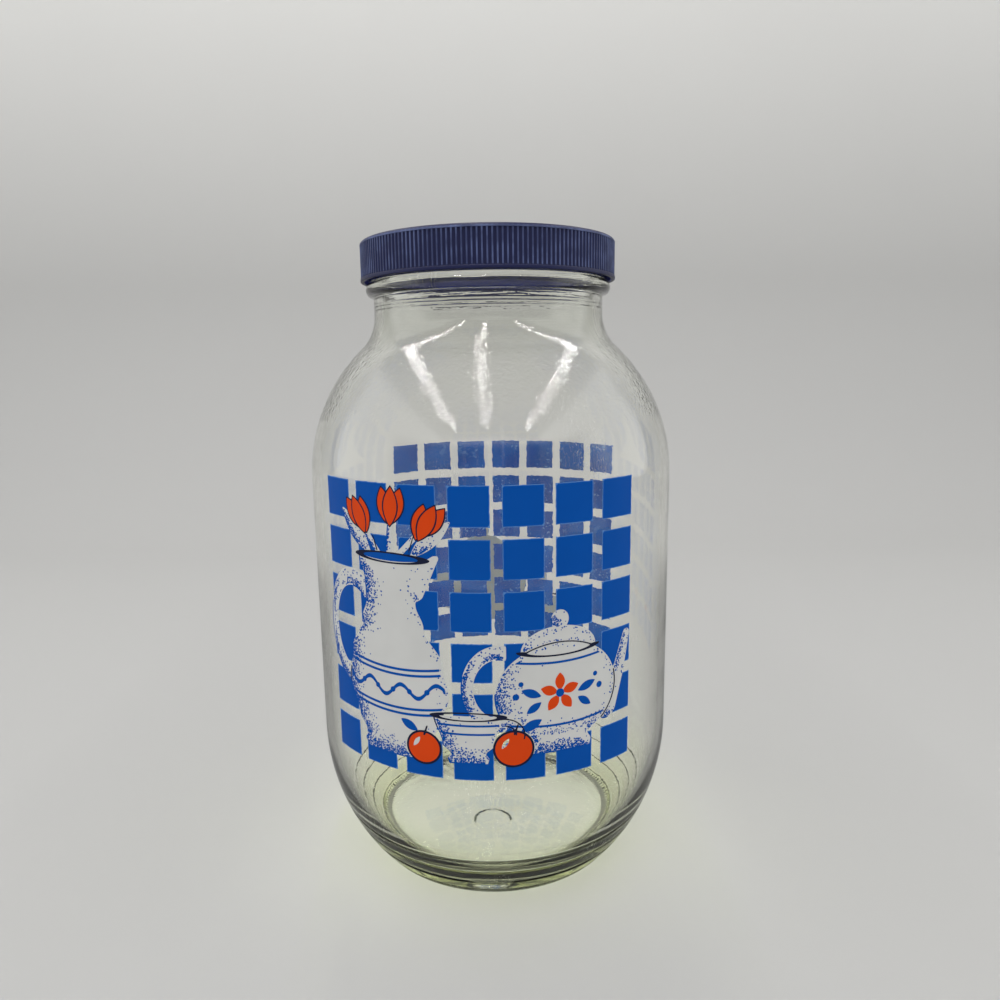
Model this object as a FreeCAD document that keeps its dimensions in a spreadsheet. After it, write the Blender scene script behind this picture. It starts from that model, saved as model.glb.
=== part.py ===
"""One-gallon wide-mouth glass storage jar with a ribbed screw cap.

Two sub-parts, in millimetres, +Z up, with the origin at the middle of the base on the
surface the jar stands on:

    glass_jar   a blown jar of one piece: pushed-up base, ringed heel, straight wall,
                rounded shoulder, short neck, bead and plain finish
    screw_cap   a moulded cap with fine upright ribs, seated on the rim of the jar

Every size is a cell of the spreadsheet "Sizes". The sketches, grooves, fillets and
patterns are bound to those cells, so the cap follows the jar when a size changes.
"""
import FreeCAD, Part
import math
import os

import Sketcher

# Driving sizes: name, value, meaning.
DRIVING = (
    ("body_radius", 81.0, "outside of the straight wall"),
    ("side_wall", 3.2, "glass of the straight wall and the shoulder"),
    ("jar_height", 274.1, "stand to the rim, which carries the cap"),
    ("base_radius", 58.5, "outer edge of the base, where the heel begins"),
    ("heel_rise", 59.8, "stand to the foot of the straight wall"),
    ("shoulder_rise", 61.0, "head of the straight wall to the foot of the neck"),
    ("finish_radius", 52.4, "outside of the glass inside the cap"),
    ("neck_step", 1.8, "finish in to the outside of the neck"),
    ("neck_height", 16.7, "foot of the neck to the bead"),
    ("neck_wall", 3.6, "glass of the neck"),
    ("bead_step", 1.5, "finish out to the outside of the bead"),
    ("bead_height", 6.0, "bead, bottom to top"),
    ("bearing_width", 4.7, "ring that the jar stands on"),
    ("pushup_rise", 5.5, "height at the axis of the hollow inside that ring"),
    ("base_glass", 6.0, "glass at the middle of the base"),
    ("floor_edge", 8.0, "height of the floor where it meets the heel"),
    ("floor_inset", 1.0, "base edge to the edge of the floor"),
    ("mark_radius", 8.6, "flat round recess in the hollow of the base"),
    ("mark_offset", 20.0, "axis to the middle of that recess, towards the front"),
    ("ring_count", 4, "grooves round the heel"),
    ("ring_first", 3.4, "height of the lowest groove"),
    ("ring_step", 7.4, "height from one groove to the next"),
    ("ring_depth", 0.7, "depth of a groove, square to the heel"),
    ("ring_width", 2.0, "width of a groove at the surface"),
    ("shoulder_round", 20.0, "fillet outside, where the shoulder meets the neck"),
    ("bore_round", 23.0, "fillet inside, where the shoulder meets the neck"),
    ("knuckle_round", 9.0, "fillet inside, where the heel meets the floor"),
    ("base_round", 2.0, "fillet outside, where the heel meets the base"),
    ("pushup_round", 1.0, "fillet at the mouth of the hollow under the base"),
    ("rim_round", 1.1, "fillets of the rim"),
    ("bead_round", 3.0, "fillet of the bead's lower edge"),
    ("bead_crown", 1.4, "fillet of the bead's upper edge"),
    ("cap_height", 16.7, "cap, bottom to top"),
    ("cap_plate", 1.8, "thickness of the top plate"),
    ("cap_clearance", 1.7, "finish to the inside of the skirt, for the thread"),
    ("skirt_wall", 1.0, "skirt of the cap at the root of the ribs"),
    ("cap_round", 1.6, "fillet of the top edge"),
    ("bead_gap", 0.4, "bottom of the cap to the top of the bead"),
    ("lip_height", 1.5, "plain lip below the ribs"),
    ("lip_step", 0.2, "lip beyond the crest of the ribs"),
    ("band_height", 2.2, "plain band above the ribs"),
    ("rib_count", 180, "ribs round the skirt"),
    ("rib_depth", 0.6, "height of a rib above its root"),
    ("rib_crest", 0.55, "width of a rib at its crest"),
    ("rib_foot", 1.05, "width of a rib at its root"),
)

# Sizes that follow from the driving ones: name, formula.
DERIVED = (
    ("cap_bottom", "jar_height + cap_plate - cap_height"),
    ("bead_top", "cap_bottom - bead_gap"),
    ("bead_radius", "finish_radius + bead_step"),
    ("neck_radius", "finish_radius - neck_step"),
    ("bead_bottom", "bead_top - bead_height"),
    ("neck_foot", "bead_bottom - neck_height"),
    ("wall_head", "neck_foot - shoulder_rise"),
    ("wall_inside", "body_radius - side_wall"),
    ("bore_radius", "neck_radius - neck_wall"),
    ("heel_run", "body_radius - base_radius"),
    ("heel_arc", "(heel_run ^ 2 + heel_rise ^ 2) / (2 * heel_run)"),
    ("shoulder_run", "body_radius - neck_radius"),
    ("shoulder_arc", "(shoulder_run ^ 2 + shoulder_rise ^ 2) / (2 * shoulder_run)"),
    ("shoulder_mid", "body_radius - shoulder_arc"),
    ("bore_run", "bore_radius - shoulder_mid"),
    ("bore_foot", "wall_head + sqrt((shoulder_arc - side_wall) ^ 2 - bore_run ^ 2)"),
    ("floor_radius", "base_radius - floor_inset"),
    ("pushup_radius", "base_radius - bearing_width"),
    ("floor_middle", "pushup_rise + base_glass"),
    ("mark_forward", "-mark_offset"),
    ("cap_plate_foot", "cap_height - cap_plate"),
    ("skirt_inside", "finish_radius + cap_clearance"),
    ("rib_root", "skirt_inside + skirt_wall"),
    ("cap_radius", "rib_root + rib_depth"),
    ("lip_radius", "cap_radius + lip_step"),
    ("rib_top", "cap_height - band_height"),
    ("rib_length", "rib_top - lip_height"),
    ("rib_sunk", "rib_root - rib_depth / 2"),
    ("rib_crest_half", "rib_crest / 2"),
    ("rib_foot_half", "rib_foot / 2"),
    ("rib_crest_low", "-rib_crest_half"),
    ("rib_foot_low", "-rib_foot_half"),
    ("over_rim", "jar_height + rim_round"),
)

ON_AXIS = "on the axis"


def write_sizes(doc):
    """Fill the spreadsheet: names, values and meanings, one size to a row."""
    sheet = doc.addObject("Spreadsheet::Sheet", "Sizes")
    rows = [(name, str(value), meaning) for name, value, meaning in DRIVING]
    rows += [(name, "=" + formula, formula) for name, formula in DERIVED]
    for row, (name, content, meaning) in enumerate(rows, start=1):
        sheet.set(f"A{row}", name)
        sheet.set(f"B{row}", content)
        sheet.setAlias(f"B{row}", name)
        sheet.set(f"C{row}", "'" + meaning)
    doc.recompute()
    return sheet


def plane(body, role):
    """One of a body's own origin planes."""
    return next(item for item in body.Origin.OriginFeatures if item.Role == role)


class Outline:
    """A closed outline in a sketch of a body, every corner bound to two named sizes.

    A corner is a pair (across, up) of size names; None stands for zero. A side after a
    corner is straight unless it is bent by arc_to: then its centre lies at a named height,
    or, for ON_AXIS, on the axis of the jar.
    """

    def __init__(self, sheet, body, name, role="XZ_Plane"):
        self.sheet = sheet
        self.sketch = body.newObject("Sketcher::SketchObject", name)
        self.sketch.AttachmentSupport = (plane(body, role), [""])
        self.sketch.MapMode = "FlatFace"
        self.corners = []
        self.bends = []

    def value(self, size):
        return float(self.sheet.get(size)) if size else 0.0

    def line_to(self, across, up):
        """A corner reached by a straight side."""
        self.corners.append((across, up))
        self.bends.append(None)

    def arc_to(self, across, up, centre):
        """A corner reached by an arc."""
        self.corners.append((across, up))
        self.bends.append(centre)

    def bind(self, kind, geometry, point, size):
        """Hold one coordinate of a point at a named size."""
        index = self.sketch.addConstraint(
            Sketcher.Constraint(kind, -1, 1, geometry, point, self.value(size))
        )
        self.sketch.setExpression(f"Constraints[{index}]", f"Sizes.{size}")

    def place(self, geometry, point, across, up):
        """Hold a point of the outline at its corner."""
        if across is None and up is None:
            self.sketch.addConstraint(Sketcher.Constraint("Coincident", geometry, point, -1, 1))
            return
        if across is None:
            self.sketch.addConstraint(Sketcher.Constraint("PointOnObject", geometry, point, -2))
        else:
            self.bind("DistanceX", geometry, point, across)
        if up is None:
            self.sketch.addConstraint(Sketcher.Constraint("PointOnObject", geometry, point, -1))
        else:
            self.bind("DistanceY", geometry, point, up)

    def arc(self, start, end, centre):
        """The arc between two points, and which of its ends each of them is."""
        (x1, y1), (x2, y2) = start, end
        if centre == ON_AXIS:
            cx = 0.0
            cy = (x1 ** 2 - x2 ** 2 + y1 ** 2 - y2 ** 2) / (2 * (y1 - y2))
        else:
            cy = self.value(centre)
            cx = (x1 ** 2 - x2 ** 2 + (y1 - cy) ** 2 - (y2 - cy) ** 2) / (2 * (x1 - x2))
        first = math.atan2(y1 - cy, x1 - cx)
        last = math.atan2(y2 - cy, x2 - cx)
        forward = (last - first) % (2 * math.pi) < math.pi
        ring = Part.Circle(
            FreeCAD.Vector(cx, cy, 0), FreeCAD.Vector(0, 0, 1), math.hypot(x1 - cx, y1 - cy)
        )
        if forward:
            return Part.ArcOfCircle(ring, first, last), 1, 2
        return Part.ArcOfCircle(ring, last, first), 2, 1

    def close(self):
        """Draw the sides, join them and bind every corner. Returns the sketch."""
        ends = []
        count = len(self.corners)
        points = [(self.value(across), self.value(up)) for across, up in self.corners]
        for i in range(count):
            start, end = points[i - 1], points[i]
            centre = self.bends[i]
            if centre is None:
                side = Part.LineSegment(FreeCAD.Vector(*start, 0), FreeCAD.Vector(*end, 0))
                first, last = 1, 2
            else:
                side, first, last = self.arc(start, end, centre)
            geometry = self.sketch.addGeometry(side, False)
            ends.append((geometry, first, last))
        for i in range(count):
            geometry, _, last = ends[i]
            following, first, _ = ends[(i + 1) % count]
            self.sketch.addConstraint(
                Sketcher.Constraint("Coincident", geometry, last, following, first)
            )
            self.place(geometry, last, *self.corners[i])
            if self.bends[i] == ON_AXIS:
                self.sketch.addConstraint(
                    Sketcher.Constraint("PointOnObject", geometry, 3, -2)
                )
            elif self.bends[i]:
                self.bind("DistanceY", geometry, 3, self.bends[i])
        return self.sketch


def turn(body, kind, name, sketch):
    """Turn a sketch once round the vertical axis, to add glass or to groove it away."""
    feature = body.newObject(kind, name)
    feature.Profile = sketch
    feature.ReferenceAxis = (sketch, ["V_Axis"])
    feature.Angle = 360
    body.Document.recompute()
    return feature


def round_edges(body, name, size, rings):
    """Round the circular edges found at the given (radius, height) pairs of sizes."""
    sheet = body.Document.Sizes
    base = body.Tip
    wanted = [(float(sheet.get(r)), float(sheet.get(up)) if up else 0.0) for r, up in rings]
    names = []
    for radius, up in wanted:
        for index, edge in enumerate(base.Shape.Edges, start=1):
            if edge.Degenerated or not isinstance(edge.Curve, Part.Circle):
                continue
            near_radius = abs(edge.Curve.Radius - radius) < 0.01
            near_height = abs(edge.Curve.Center.z - up) < 0.01
            if near_radius and near_height:
                names.append(f"Edge{index}")
    if len(names) < len(wanted):
        raise RuntimeError(f"{name}: an edge is missing")
    fillet = body.newObject("PartDesign::Fillet", name)
    fillet.Base = (base, names)
    fillet.setExpression("Radius", f"Sizes.{size}")
    body.Document.recompute()
    return fillet


def add_ring_sizes(sheet):
    """Name the corners of each heel groove: a V square to the heel arc at its height."""
    row = len(DRIVING) + len(DERIVED) + 1
    for ring in range(int(sheet.get("ring_count"))):
        sine = f"((heel_rise - ring_first - {ring} * ring_step) / heel_arc)"
        slope = f"asin({sine})"
        half = "(ring_width / heel_arc * 90 deg / pi)"
        for corner, offset, reach in (
            ("low", f" + {half}", "heel_arc"),
            ("tip", "", "heel_arc - ring_depth"),
            ("high", f" - {half}", "heel_arc"),
            ("out", "", "heel_arc + ring_depth"),
        ):
            angle = f"({slope}{offset})"
            across = f"=body_radius - heel_arc + ({reach}) * cos({angle})"
            up = f"=heel_rise - ({reach}) * sin({angle})"
            for way, formula in (("across", across), ("up", up)):
                name = f"ring_{ring + 1}_{corner}_{way}"
                sheet.set(f"A{row}", name)
                sheet.set(f"B{row}", formula)
                sheet.setAlias(f"B{row}", name)
                row += 1
    sheet.Document.recompute()


def make_mark(sheet, jar):
    """The flat round recess under the base, cut up to the height of the hollow."""
    sketch = jar.newObject("Sketcher::SketchObject", "mark_outline")
    sketch.AttachmentSupport = (plane(jar, "XY_Plane"), [""])
    sketch.MapMode = "FlatFace"
    forward, radius = float(sheet.get("mark_forward")), float(sheet.get("mark_radius"))
    middle = FreeCAD.Vector(0, forward, 0)
    ring = sketch.addGeometry(Part.Circle(middle, FreeCAD.Vector(0, 0, 1), radius), False)
    sketch.addConstraint(Sketcher.Constraint("PointOnObject", ring, 3, -2))
    place = sketch.addConstraint(Sketcher.Constraint("DistanceY", -1, 1, ring, 3, forward))
    sketch.setExpression(f"Constraints[{place}]", "Sizes.mark_forward")
    reach = sketch.addConstraint(Sketcher.Constraint("Radius", ring, radius))
    sketch.setExpression(f"Constraints[{reach}]", "Sizes.mark_radius")
    recess = jar.newObject("PartDesign::Pocket", "mark")
    recess.Profile = sketch
    recess.Reversed = True
    recess.setExpression("Length", "Sizes.pushup_rise")
    jar.Document.recompute()


def make_jar(doc, sheet):
    """The glass: a turned blank, then the inside, the hollow base and the heel grooves."""
    jar = doc.addObject("PartDesign::Body", "glass_jar")
    jar.Label = "glass_jar"

    blank = Outline(sheet, jar, "outside_outline")
    blank.line_to(None, None)
    blank.line_to("base_radius", None)
    blank.arc_to("body_radius", "heel_rise", "heel_rise")
    blank.line_to("body_radius", "wall_head")
    blank.arc_to("neck_radius", "neck_foot", "wall_head")
    blank.line_to("neck_radius", "bead_bottom")
    blank.line_to("bead_radius", "bead_bottom")
    blank.line_to("bead_radius", "bead_top")
    blank.line_to("finish_radius", "bead_top")
    blank.line_to("finish_radius", "jar_height")
    blank.line_to(None, "jar_height")
    turn(jar, "PartDesign::Revolution", "outside", blank.close())

    inside = Outline(sheet, jar, "inside_outline")
    inside.line_to(None, "floor_middle")
    inside.arc_to("floor_radius", "floor_edge", ON_AXIS)
    inside.arc_to("wall_inside", "heel_rise", "heel_rise")
    inside.line_to("wall_inside", "wall_head")
    inside.arc_to("bore_radius", "bore_foot", "wall_head")
    inside.line_to("bore_radius", "over_rim")
    inside.line_to(None, "over_rim")
    turn(jar, "PartDesign::Groove", "inside", inside.close())

    hollow = Outline(sheet, jar, "pushup_outline")
    hollow.line_to(None, None)
    hollow.line_to("pushup_radius", None)
    hollow.arc_to(None, "pushup_rise", ON_AXIS)
    turn(jar, "PartDesign::Groove", "pushup", hollow.close())

    make_mark(sheet, jar)

    round_edges(jar, "shoulder_fillet", "shoulder_round", [("neck_radius", "neck_foot")])
    round_edges(jar, "bore_fillet", "bore_round", [("bore_radius", "bore_foot")])
    round_edges(jar, "knuckle_fillet", "knuckle_round", [("floor_radius", "floor_edge")])
    round_edges(jar, "base_fillet", "base_round", [("base_radius", None)])
    round_edges(jar, "pushup_fillet", "pushup_round", [("pushup_radius", None)])
    round_edges(
        jar, "rim_fillet", "rim_round",
        [("finish_radius", "jar_height"), ("bore_radius", "jar_height")],
    )
    round_edges(jar, "bead_fillet", "bead_round", [("bead_radius", "bead_bottom")])
    round_edges(jar, "bead_crown_fillet", "bead_crown", [("bead_radius", "bead_top")])
    for ring in range(1, int(sheet.get("ring_count")) + 1):
        groove = Outline(sheet, jar, f"ring_{ring}_outline")
        for corner in ("low", "tip", "high", "out"):
            groove.line_to(f"ring_{ring}_{corner}_across", f"ring_{ring}_{corner}_up")
        turn(jar, "PartDesign::Groove", f"ring_{ring}", groove.close())
    return jar


def make_cap(doc, sheet):
    """The cap, drawn with its bottom at zero and lifted onto the rim of the jar."""
    cap = doc.addObject("PartDesign::Body", "screw_cap")
    cap.Label = "screw_cap"

    shell = Outline(sheet, cap, "shell_outline")
    shell.line_to("skirt_inside", None)
    shell.line_to("lip_radius", None)
    shell.line_to("lip_radius", "lip_height")
    shell.line_to("rib_root", "lip_height")
    shell.line_to("rib_root", "rib_top")
    shell.line_to("cap_radius", "rib_top")
    shell.line_to("cap_radius", "cap_height")
    shell.line_to(None, "cap_height")
    shell.line_to(None, "cap_plate_foot")
    shell.line_to("skirt_inside", "cap_plate_foot")
    turn(cap, "PartDesign::Revolution", "shell", shell.close())
    round_edges(cap, "top_fillet", "cap_round", [("cap_radius", "cap_height")])

    section = Outline(sheet, cap, "rib_section", "XY_Plane")
    section.line_to("rib_sunk", "rib_foot_low")
    section.line_to("cap_radius", "rib_crest_low")
    section.line_to("cap_radius", "rib_crest_half")
    section.line_to("rib_sunk", "rib_foot_half")
    sketch = section.close()
    sketch.setExpression(".AttachmentOffset.Base.z", "Sizes.lip_height")
    rib = cap.newObject("PartDesign::Pad", "rib")
    rib.Profile = sketch
    rib.setExpression("Length", "Sizes.rib_length")
    doc.recompute()

    ribs = cap.newObject("PartDesign::PolarPattern", "ribs")
    ribs.Originals = [rib]
    ribs.Axis = (sketch, ["N_Axis"])
    ribs.Angle = 360
    ribs.setExpression("Occurrences", "Sizes.rib_count")
    cap.Tip = ribs
    cap.setExpression(".Placement.Base.z", "Sizes.cap_bottom")
    doc.recompute()
    return cap


def check(doc):
    """Stop if any object of the document failed."""
    for item in doc.Objects:
        if "Invalid" in item.State or "Error" in item.State:
            raise RuntimeError(f"{item.Label}: {item.State}")


def main():
    doc = FreeCAD.newDocument("storage_jar")
    sheet = write_sizes(doc)
    add_ring_sizes(sheet)
    parts = [make_jar(doc, sheet), make_cap(doc, sheet)]
    doc.recompute()
    check(doc)
    for part in parts:
        if part.Shape.isNull() or not part.Shape.isValid():
            raise RuntimeError(f"{part.Label}: shape is not valid")
    os.makedirs("parts", exist_ok=True)
    for part in parts:
        part.Shape.exportStep(os.path.join("parts", part.Label + ".step"))
        box = part.Shape.BoundBox
        print(
            f"{part.Label}: {len(part.Shape.Solids)} solid, {part.Shape.Volume / 1000:.1f} cm3,"
            f" z {box.ZMin:.2f} to {box.ZMax:.2f}"
        )


main()
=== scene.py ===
# %% [markdown]
# # A printed glass storage jar with a ribbed screw cap
#
# The jar is a blown glass bottle of about one gallon: a pushed-up base, a heel with four
# fine grooves, a straight wall, a round shoulder, a short neck and a bead under the cap.
# Its front and back carry a panel of blue enamel tiles with a printed picture: a full still
# life in front, and a smaller group of the same crockery on the back. The cap is a navy
# plastic moulding with fine upright ribs. This lesson builds the visible surfaces with
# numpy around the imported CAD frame, and gives each one a material made of nodes.

# %% Load the frame
import math

import bpy
import numpy as np
from mathutils import Matrix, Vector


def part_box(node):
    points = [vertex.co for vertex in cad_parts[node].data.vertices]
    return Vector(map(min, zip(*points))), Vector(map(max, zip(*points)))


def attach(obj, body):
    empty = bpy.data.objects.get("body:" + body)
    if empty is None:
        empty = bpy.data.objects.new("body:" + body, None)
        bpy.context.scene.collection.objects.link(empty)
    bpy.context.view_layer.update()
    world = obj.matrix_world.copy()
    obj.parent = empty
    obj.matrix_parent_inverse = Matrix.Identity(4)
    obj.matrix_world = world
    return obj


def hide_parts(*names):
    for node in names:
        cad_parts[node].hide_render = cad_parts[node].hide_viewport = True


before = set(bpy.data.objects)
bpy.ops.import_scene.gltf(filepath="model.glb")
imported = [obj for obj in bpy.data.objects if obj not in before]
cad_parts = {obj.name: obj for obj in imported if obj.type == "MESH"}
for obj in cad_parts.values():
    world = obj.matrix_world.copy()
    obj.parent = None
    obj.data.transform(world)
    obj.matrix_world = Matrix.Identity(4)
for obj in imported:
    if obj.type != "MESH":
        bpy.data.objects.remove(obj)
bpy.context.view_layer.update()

# %% [markdown]
# ## Sizes
#
# Everything that the frame can tell comes from the frame: the radius of the body, the
# height of the rim and the box of the cap. The finer sizes of the glass and the cap are
# named here once, in metres, as they are in the CAD source.

# %% Sizes of the glass
MM = 0.001
jar_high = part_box("glass_jar")[1]
cap_low, cap_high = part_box("screw_cap")
body_radius = float(jar_high[0])
jar_height = float(jar_high[2])
cap_bottom = float(cap_low[2])
cap_top = float(cap_high[2])

side_wall = 3.2 * MM
base_radius = 58.5 * MM
heel_rise = 59.8 * MM
shoulder_rise = 61.0 * MM
finish_radius = 52.4 * MM
neck_radius = finish_radius - 1.8 * MM
neck_height = 16.7 * MM
neck_wall = 3.6 * MM
bead_radius = finish_radius + 1.5 * MM
bead_height = 6.0 * MM
bead_top = cap_bottom - 0.4 * MM
bead_bottom = bead_top - bead_height
neck_foot = bead_bottom - neck_height
wall_head = neck_foot - shoulder_rise
bore_radius = neck_radius - neck_wall
pushup_radius = base_radius - 4.7 * MM
pushup_rise = 5.5 * MM
floor_middle = pushup_rise + 6.0 * MM
floor_edge = 8.0 * MM
floor_radius = base_radius - 1.0 * MM
print(f"body {body_radius * 2000:.0f} mm across, rim at {jar_height * 1000:.1f} mm")

# %% [markdown]
# ## Outlines with rolled corners
#
# A turned shape is known by its outline: straight runs and arcs, with a round at each
# corner. A hand-drawn curve could stand for it, but then no size of it could be trusted. A
# round of radius q is where a ball of radius q rests against both sides, so its middle is
# where the two sides, each moved by q towards the ball, meet. The class below holds a side
# as a line or a circle, and the function after it finds where two moved sides meet.


# %% Sides of an outline
class Side:
    """A side of an outline from a to b: straight, or an arc about a centre.

    spin is +1 for an arc that turns left on the way from a to b, -1 for right.
    """

    def __init__(self, a, b, centre=None):
        self.a, self.b = np.array(a, float), np.array(b, float)
        self.centre = None if centre is None else np.array(centre, float)
        if self.centre is None:
            self.way = (self.b - self.a) / np.linalg.norm(self.b - self.a)
            return
        self.radius = float(np.linalg.norm(self.a - self.centre))
        u, v = self.a - self.centre, self.b - self.centre
        self.spin = 1.0 if u[0] * v[1] - u[1] * v[0] > 0 else -1.0

    def heading(self, point):
        """The direction of travel at a point of the side."""
        if self.centre is None:
            return self.way
        u = (point - self.centre) / np.linalg.norm(point - self.centre)
        return self.spin * np.array([-u[1], u[0]])

    def foot(self, middle):
        """Where a ball with this middle touches the side."""
        if self.centre is None:
            return self.a + self.way * float(np.dot(middle - self.a, self.way))
        u = middle - self.centre
        return self.centre + u * self.radius / np.linalg.norm(u)

    def points(self, step):
        """Points from a to b about a step apart, without b."""
        if self.centre is None:
            count = max(1, round(float(np.linalg.norm(self.b - self.a)) / step))
            return self.a + np.linspace(0, 1, count, endpoint=False)[:, None] * (self.b - self.a)
        first = math.atan2(*(self.a - self.centre)[::-1])
        last = math.atan2(*(self.b - self.centre)[::-1])
        turn = (last - first) * self.spin % (2 * math.pi) * self.spin
        count = max(3, round(abs(turn) * self.radius / step))
        angle = first + np.linspace(0, 1, count, endpoint=False) * turn
        return self.centre + self.radius * np.stack([np.cos(angle), np.sin(angle)], 1)


quarter = Side((1, 0), (0, 1), (0, 0))
print("a quarter circle in points:", quarter.points(0.5).round(3).tolist())


# %% Where two sides meet
def ball_middle(one, two, q, left, near):
    """The middle of a ball of radius q that rests on two sides, nearest to a point.

    left is +1 if the ball lies left of the travel and -1 if right. A line moved by q is
    a line; a circle moved by q is a circle of radius A - left * spin * q.
    """
    def normal(way):
        return np.array([-way[1], way[0]])

    lines = [s for s in (one, two) if s.centre is None]
    arcs = [s for s in (one, two) if s.centre is not None]
    moved = [(s.a + left * q * normal(s.way), s.way) for s in lines]
    rings = [(s.centre, s.radius - left * s.spin * q) for s in arcs]
    if len(moved) == 2:
        (p, d), (r, e) = moved
        t = np.linalg.solve(np.stack([d, -e], 1), r - p)[0]
        return p + t * d
    if len(moved) == 1:
        (p, d), (c, radius) = moved[0], rings[0]
        along = float(np.dot(c - p, d))
        reach = math.sqrt(radius**2 - float(np.sum((p + along * d - c) ** 2)))
        found = [p + (along + reach) * d, p + (along - reach) * d]
    else:
        (c, ra), (e, rb) = rings
        gap = float(np.linalg.norm(e - c))
        along = (ra**2 - rb**2 + gap**2) / (2 * gap)
        reach = math.sqrt(ra**2 - along**2)
        d = (e - c) / gap
        found = [c + along * d + reach * normal(d), c + along * d - reach * normal(d)]
    return min(found, key=lambda m: float(np.linalg.norm(m - near)))


floor_side, wall_side = Side((0, 0), (5, 0)), Side((5, 0), (5, 5))
print("a ball of radius 1 rests at", ball_middle(floor_side, wall_side, 1.0, 1.0, (5, 0)).tolist())

# %% An outline from its corners
round_steps = 14
finest_step = 0.3 * MM


def outline_of(corners):
    """Points of an outline given as rows: corner, centre of the arc to it, round, step.

    The centre is None where the side that leads to the corner is straight.
    """
    sides = [
        Side(corners[i][0], corners[i + 1][0], corners[i + 1][1])
        for i in range(len(corners) - 1)
    ]
    spots = []
    for i, side in enumerate(sides):
        step, q = corners[i + 1][3], corners[i + 1][2]
        if not q:
            spots.append(side.points(step))
            continue
        following = sides[i + 1]
        corner = side.b
        u, v = side.heading(corner), following.heading(corner)
        left = 1.0 if u[0] * v[1] - u[1] * v[0] > 0 else -1.0
        middle = ball_middle(side, following, q, left, corner)
        side.b, following.a = side.foot(middle), following.foot(middle)
        spots.append(side.points(step))
        rolled = Side(side.b, following.a, middle)
        spots.append(rolled.points(max(finest_step, q / round_steps)))
    spots.append(sides[-1].b[None])
    return np.concatenate(spots)


def arc_centre(end, start):
    """Centre of the arc that leaves start upright and runs to end, both as (r, z).

    It lies level with start, at the radius (run^2 + rise^2) / (2 run) inwards from it.
    """
    run, rise = start[0] - end[0], end[1] - start[1]
    radius = (run**2 + rise**2) / (2 * run)
    return np.array([start[0] - radius, start[1]])


def dome_centre(edge, rise):
    """Centre, on the axis, of the arc from edge to the axis that is rise higher there."""
    radius = (edge[0] ** 2 + rise**2) / (2 * rise)
    return np.array([0.0, edge[1] + rise - radius])


heel_centre = arc_centre((base_radius, 0.0), (body_radius, heel_rise))
shoulder_centre = arc_centre((neck_radius, neck_foot), (body_radius, wall_head))
print("centres of heel and shoulder in mm:", heel_centre / MM, shoulder_centre / MM)


# %% [markdown]
# ## Turned surfaces
#
# A surface of revolution is a grid: one parameter runs along the outline, the other round
# the axis. Point (i, j) is (r cos t, r sin t, z). Before the turn, any field of the two
# parameters can move r or z, which is how grooves, threads, ribs and the slight waves of
# blown glass come in. Where the outline meets the axis the row closes in one point.


# %% Meshes from arrays
def new_piece(name, points, *face_sets, smooth=True):
    """A mesh object from an array of points and arrays of faces, each with its own width."""
    mesh = bpy.data.meshes.new(name)
    corners = np.concatenate([np.asarray(f).ravel() for f in face_sets]).astype(np.int32)
    widths = np.concatenate([np.full(len(f), np.shape(f)[1]) for f in face_sets])
    mesh.vertices.add(len(points))
    mesh.vertices.foreach_set("co", np.asarray(points, dtype=np.float32).ravel())
    mesh.loops.add(len(corners))
    mesh.loops.foreach_set("vertex_index", corners)
    mesh.polygons.add(len(widths))
    mesh.polygons.foreach_set("loop_start", (np.cumsum(widths) - widths).astype(np.int32))
    mesh.polygons.foreach_set("use_smooth", np.full(len(widths), smooth))
    mesh.update(calc_edges=True)
    mesh.validate()
    piece = bpy.data.objects.new(name, mesh)
    bpy.context.scene.collection.objects.link(piece)
    print(f"{name}: {len(points)} points, {int(np.sum(widths - 2))} triangles")
    return piece


# %% A turned piece
def turned(name, outline, angles, reshape):
    """Turn an outline of (r, z) rows round the axis: x = r cos t, y = r sin t.

    reshape(r, z, t) returns r and z as grids, moved as the piece needs. The first and the
    last row lie on the axis, and each is closed with a fan of triangles.
    """
    columns = len(angles)
    t = np.broadcast_to(angles[None, :], (len(outline) - 2, columns))
    r, z = (np.repeat(outline[1:-1, i : i + 1], columns, 1) for i in (0, 1))
    r, z = reshape(r, z, t)
    grid = np.stack([r * np.cos(t), r * np.sin(t), z], -1).reshape(-1, 3)
    ends = [[0, 0, outline[0, 1]], [0, 0, outline[-1, 1]]]
    j = np.arange(columns)
    k = (j + 1) % columns
    rows = np.arange(len(outline) - 3)[:, None] * columns
    quads = np.stack([rows + j, rows + k, rows + columns + k, rows + columns + j], -1)
    top = (len(outline) - 3) * columns
    first, last = np.full(columns, len(grid)), np.full(columns, len(grid) + 1)
    low = np.stack([first, k, j], -1)
    high = np.stack([last, top + j, top + k], -1)
    return new_piece(name, np.concatenate([grid, ends]), quads.reshape(-1, 4), low, high)


def even_angles(count):
    """Angles that share a full turn evenly."""
    return np.arange(count) * 2 * math.pi / count


def mark_points(piece, name, values):
    """Give every point of a piece a number that a material can read under this name."""
    attribute = piece.data.attributes.new(name, "FLOAT", "POINT")
    attribute.data.foreach_set("value", np.asarray(values, np.float32))


print("angles of a four-sided turn:", even_angles(4).round(3).tolist())


# %% [markdown]
# ## The glass
#
# The outline starts under the base on the axis, runs out over the bearing ring, up the
# outside, over the rim and back down the inside to the floor. A blown jar is smooth and
# true outside, where the mould was, and a little uneven inside, where only air shaped it.
# So the inside gets slow waves, and the outside gets the four grooves of the heel, three
# faint rings under the bead and the thread of the finish, which is one raised ridge that
# climbs as it goes round. They are real relief, because their edges bend the view.

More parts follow.
